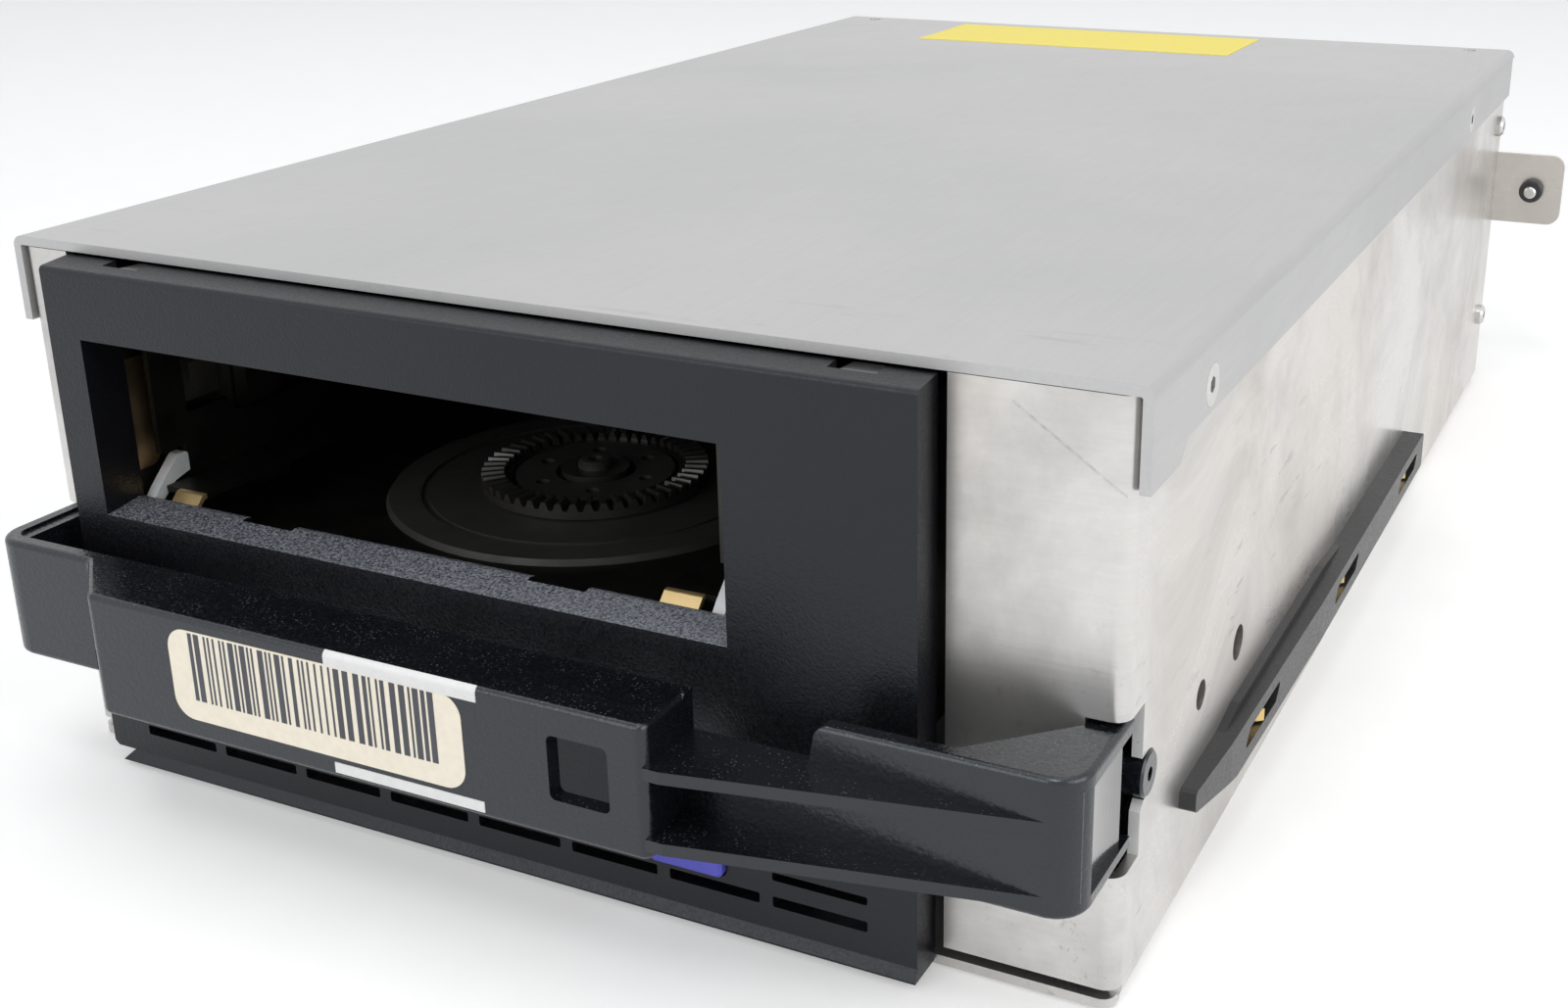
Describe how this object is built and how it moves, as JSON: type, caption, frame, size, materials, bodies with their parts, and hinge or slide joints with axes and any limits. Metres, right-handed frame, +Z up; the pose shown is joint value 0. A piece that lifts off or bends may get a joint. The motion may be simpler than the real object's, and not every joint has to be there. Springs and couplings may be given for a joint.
{
  "type": "data tape drive",
  "caption": "Full-height half-inch cartridge tape drive in a folded-sheet hot-swap sled with a pull handle, side rails, rear captive screws, blind-mate connector and fan.",
  "frame": {"origin": "centre of the sled's underside, the face of the tray floor that rests on a bench", "axes": "+X to the right seen from the front, +Y from the front to the rear connector, +Z up; the front with the handle and cartridge slot faces -Y"},
  "size_m": [0.2194, 0.3359, 0.0887],
  "materials": {
    "sled_sheet": "satin, clear-passivated folded sheet",
    "cover_sheet": "satin light grey",
    "zinc_steel": "zinc-plated",
    "dark_steel": "dark",
    "bright_steel": "bright",
    "bezel_black": "fine grain",
    "handle_black": "semi-gloss moulded",
    "rail_black": "satin moulded",
    "button_violet": "smooth",
    "label_cream": "paper label",
    "label_yellow": "paper label",
    "spring_brass": "bright",
    "nylon_white": "smooth",
    "gold_plate": "gold plated",
    "light_pipe": "clear light pipe",
    "board_green": "solder mask",
    "cast_alloy": "die cast",
    "deck_steel": "plated",
    "tape_dark": "wound tape",
    "chip_black": "epoxy",
    "connector_black": "moulded"
  },
  "bodies": {
    "sled": {"chassis_tray": "sled_sheet", "top_cover": "cover_sheet", "cover_screws": "zinc_steel", "cover_label": "label_yellow", "rear_panel": "sled_sheet", "rear_panel_screws": "zinc_steel", "side_rail_right": "rail_black", "side_rail_left": "rail_black", "rail_springs": "spring_brass", "rail_screws": "zinc_steel", "drive_bezel": "bezel_black", "bezel_clips": "bezel_black", "button_switch": "chip_black", "status_lights": "light_pipe", "front_board": "board_green", "drive_base": "cast_alloy", "mechanism_deck": "deck_steel", "drive_top_cover": "deck_steel", "sled_screws": "zinc_steel", "carriage_guides": "deck_steel", "side_spring": "spring_brass", "slot_sensor": "chip_black", "reel_motor": "dark_steel", "take_up_motor": "dark_steel", "roller_posts": "zinc_steel", "head_frame": "cast_alloy", "main_board": "board_green", "main_board_chips": "chip_black", "drive_plug": "connector_black", "sled_plug": "connector_black", "sled_board": "board_green", "board_standoffs": "zinc_steel", "sled_board_parts": "chip_black", "board_screws": "zinc_steel", "blind_mate_connector": "connector_black", "fan_frame": "rail_black", "fan_screws": "zinc_steel"},
    "handle": {"handle_bail": "handle_black", "handle_label": "label_cream"},
    "button": {"unload_button": "button_violet"},
    "captive_screw_r": {"captive_screw_right": "zinc_steel", "captive_ring_right": "rail_black"},
    "captive_screw_l": {"captive_screw_left": "zinc_steel", "captive_ring_left": "rail_black"},
    "clutch": {"reel_clutch": "nylon_white", "clutch_screw": "zinc_steel", "clutch_armature": "bright_steel"},
    "take_up": {"take_up_reel": "nylon_white", "tape_pack": "tape_dark"},
    "roller_1": {"guide_roller_1": "bright_steel"},
    "roller_2": {"guide_roller_2": "bright_steel"},
    "roller_3": {"guide_roller_3": "bright_steel"},
    "roller_4": {"guide_roller_4": "bright_steel"},
    "carriage": {"carriage_roof": "deck_steel", "carriage_sides": "deck_steel", "carriage_prongs": "nylon_white", "carriage_tabs": "gold_plate"},
    "head": {"head_carriage": "cast_alloy", "tape_head": "chip_black"},
    "fan": {"fan_rotor": "chip_black"}
  },
  "joints": [
    {"name": "handle_swing", "type": "hinge", "parent": "sled", "child": "handle", "pos_m": [0, -0.143, 0.0316], "axis": [1, 0, 0], "range_deg": [0, 9]},
    {"name": "button_push", "type": "slide", "parent": "sled", "child": "button", "axis": [0, 1, 0], "range_m": [0, 0.001], "stiffness_N_per_m": 400, "springref_m": -0.0008},
    {"name": "captive_screw_turn_right", "type": "hinge", "parent": "sled", "child": "captive_screw_r", "pos_m": [0.1023, 0.1505, 0.053], "axis": [0, 1, 0], "continuous": true},
    {"name": "captive_screw_turn_left", "type": "hinge", "parent": "sled", "child": "captive_screw_l", "pos_m": [-0.1023, 0.1505, 0.053], "axis": [0, 1, 0], "continuous": true},
    {"name": "clutch_spin", "type": "hinge", "parent": "sled", "child": "clutch", "pos_m": [-0.0224, -0.0993, 0.04], "axis": [0, 0, 1], "continuous": true},
    {"name": "take_up_spin", "type": "hinge", "parent": "sled", "child": "take_up", "pos_m": [-0.0224, -0.0005, 0.05], "axis": [0, 0, 1], "continuous": true},
    {"name": "roller_1_spin", "type": "hinge", "parent": "sled", "child": "roller_1", "pos_m": [-0.044, -0.0411, 0.055], "axis": [0, 0, 1], "continuous": true},
    {"name": "roller_2_spin", "type": "hinge", "parent": "sled", "child": "roller_2", "pos_m": [-0.0564, -0.0401, 0.055], "axis": [0, 0, 1], "continuous": true},
    {"name": "roller_3_spin", "type": "hinge", "parent": "sled", "child": "roller_3", "pos_m": [-0.071, -0.0245, 0.055], "axis": [0, 0, 1], "continuous": true},
    {"name": "roller_4_spin", "type": "hinge", "parent": "sled", "child": "roller_4", "pos_m": [-0.069, -0.0065, 0.055], "axis": [0, 0, 1], "continuous": true},
    {"name": "carriage_lower", "type": "slide", "parent": "sled", "child": "carriage", "axis": [0, 0, -1], "range_m": [0, 0.0046]},
    {"name": "head_track", "type": "slide", "parent": "sled", "child": "head", "axis": [0, 0, 1], "range_m": [-0.003, 0.003]},
    {"name": "fan_spin", "type": "hinge", "parent": "sled", "child": "fan", "pos_m": [0.042, 0.1425, 0.044], "axis": [0, 1, 0], "continuous": true}
  ]
}
